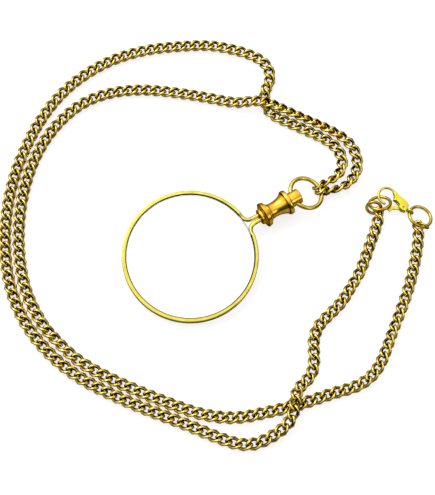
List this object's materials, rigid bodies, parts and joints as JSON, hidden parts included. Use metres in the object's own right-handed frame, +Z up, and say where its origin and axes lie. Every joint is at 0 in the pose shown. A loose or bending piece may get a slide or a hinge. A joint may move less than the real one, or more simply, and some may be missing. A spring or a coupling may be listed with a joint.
{
  "type": "quizzing glass",
  "caption": "Round single-lens quizzing glass with a slim gilt rim, a turned spool handle and a bail ring, on a long curb chain closed by a trigger clasp",
  "frame": {"origin": "centre of the glass and its bail in plan, on the table that they lie on", "axes": "+Z up from the table, +X towards the clasp's side of the layout, and the handle points 29 degrees above +X"},
  "size_m": [0.1298, 0.1287, 0.0083],
  "materials": {
    "gilt_metal": "polished gold plate",
    "lens_glass": "clear, polished",
    "spring_steel": "drawn wire"
  },
  "bodies": {
    "glass": {"rim_wire": "gilt_metal", "lens": "lens_glass", "tail_post_upper": "gilt_metal", "tail_post_lower": "gilt_metal", "handle_ferrule": "gilt_metal", "handle_spool": "gilt_metal", "handle_eye": "gilt_metal"},
    "bail": {"bail_ring": "gilt_metal"},
    "chain": {"chain_left_1": "gilt_metal", "chain_left_2": "gilt_metal", "chain_left_3": "gilt_metal", "chain_left_4": "gilt_metal", "chain_left_5": "gilt_metal", "chain_left_6": "gilt_metal", "chain_left_7": "gilt_metal", "chain_left_8": "gilt_metal", "chain_right_1": "gilt_metal", "chain_right_2": "gilt_metal", "chain_right_3": "gilt_metal", "chain_right_4": "gilt_metal", "chain_right_5": "gilt_metal", "chain_right_6": "gilt_metal", "chain_right_7": "gilt_metal", "chain_right_8": "gilt_metal", "end_ring": "gilt_metal", "joining_ring": "gilt_metal"},
    "tail": {"tail_ring": "gilt_metal"},
    "clasp": {"clasp_body": "gilt_metal", "clasp_pin": "spring_steel", "clasp_spring": "spring_steel"},
    "trigger": {"clasp_trigger": "gilt_metal"},
    "hook_loop": {"hook_ring": "gilt_metal"}
  },
  "joints": [
    {"name": "bail_swing", "type": "hinge", "parent": "glass", "child": "bail", "pos_m": [0.02087, 0.01474, 0.00456], "axis": [-0.4848, 0.8746, 0], "range_deg": [-110, 65]},
    {"name": "chain_swing", "type": "hinge", "parent": "bail", "child": "chain", "pos_m": [0.02934, 0.0187, 0.00192], "axis": [-0.3728, 0.9273, -0.035], "range_deg": [-45, 45]},
    {"name": "tail_ring_swing", "type": "hinge", "parent": "chain", "child": "tail", "pos_m": [0.06056, 0.00683, 0.002], "axis": [0, 0, 1], "range_deg": [0, 3]},
    {"name": "clasp_roll", "type": "hinge", "parent": "tail", "child": "clasp", "pos_m": [0.0567, 0.01179, 0.00165], "axis": [0.7993, -0.601, 0], "range_deg": [-5, 4]},
    {"name": "trigger_press", "type": "hinge", "parent": "clasp", "child": "trigger", "pos_m": [0.05468, 0.01287, 0.00165], "axis": [0, 0, -1], "range_deg": [0, 12], "stiffness_Nm_per_rad": 0.0002, "springref_deg": -11.46},
    {"name": "hook_ring_swing", "type": "hinge", "parent": "chain", "child": "hook_loop", "pos_m": [0.04748, 0.01264, 0.00331], "axis": [-0.3497, 0.5357, 0.7686], "range_deg": [-2, 2]}
  ]
}
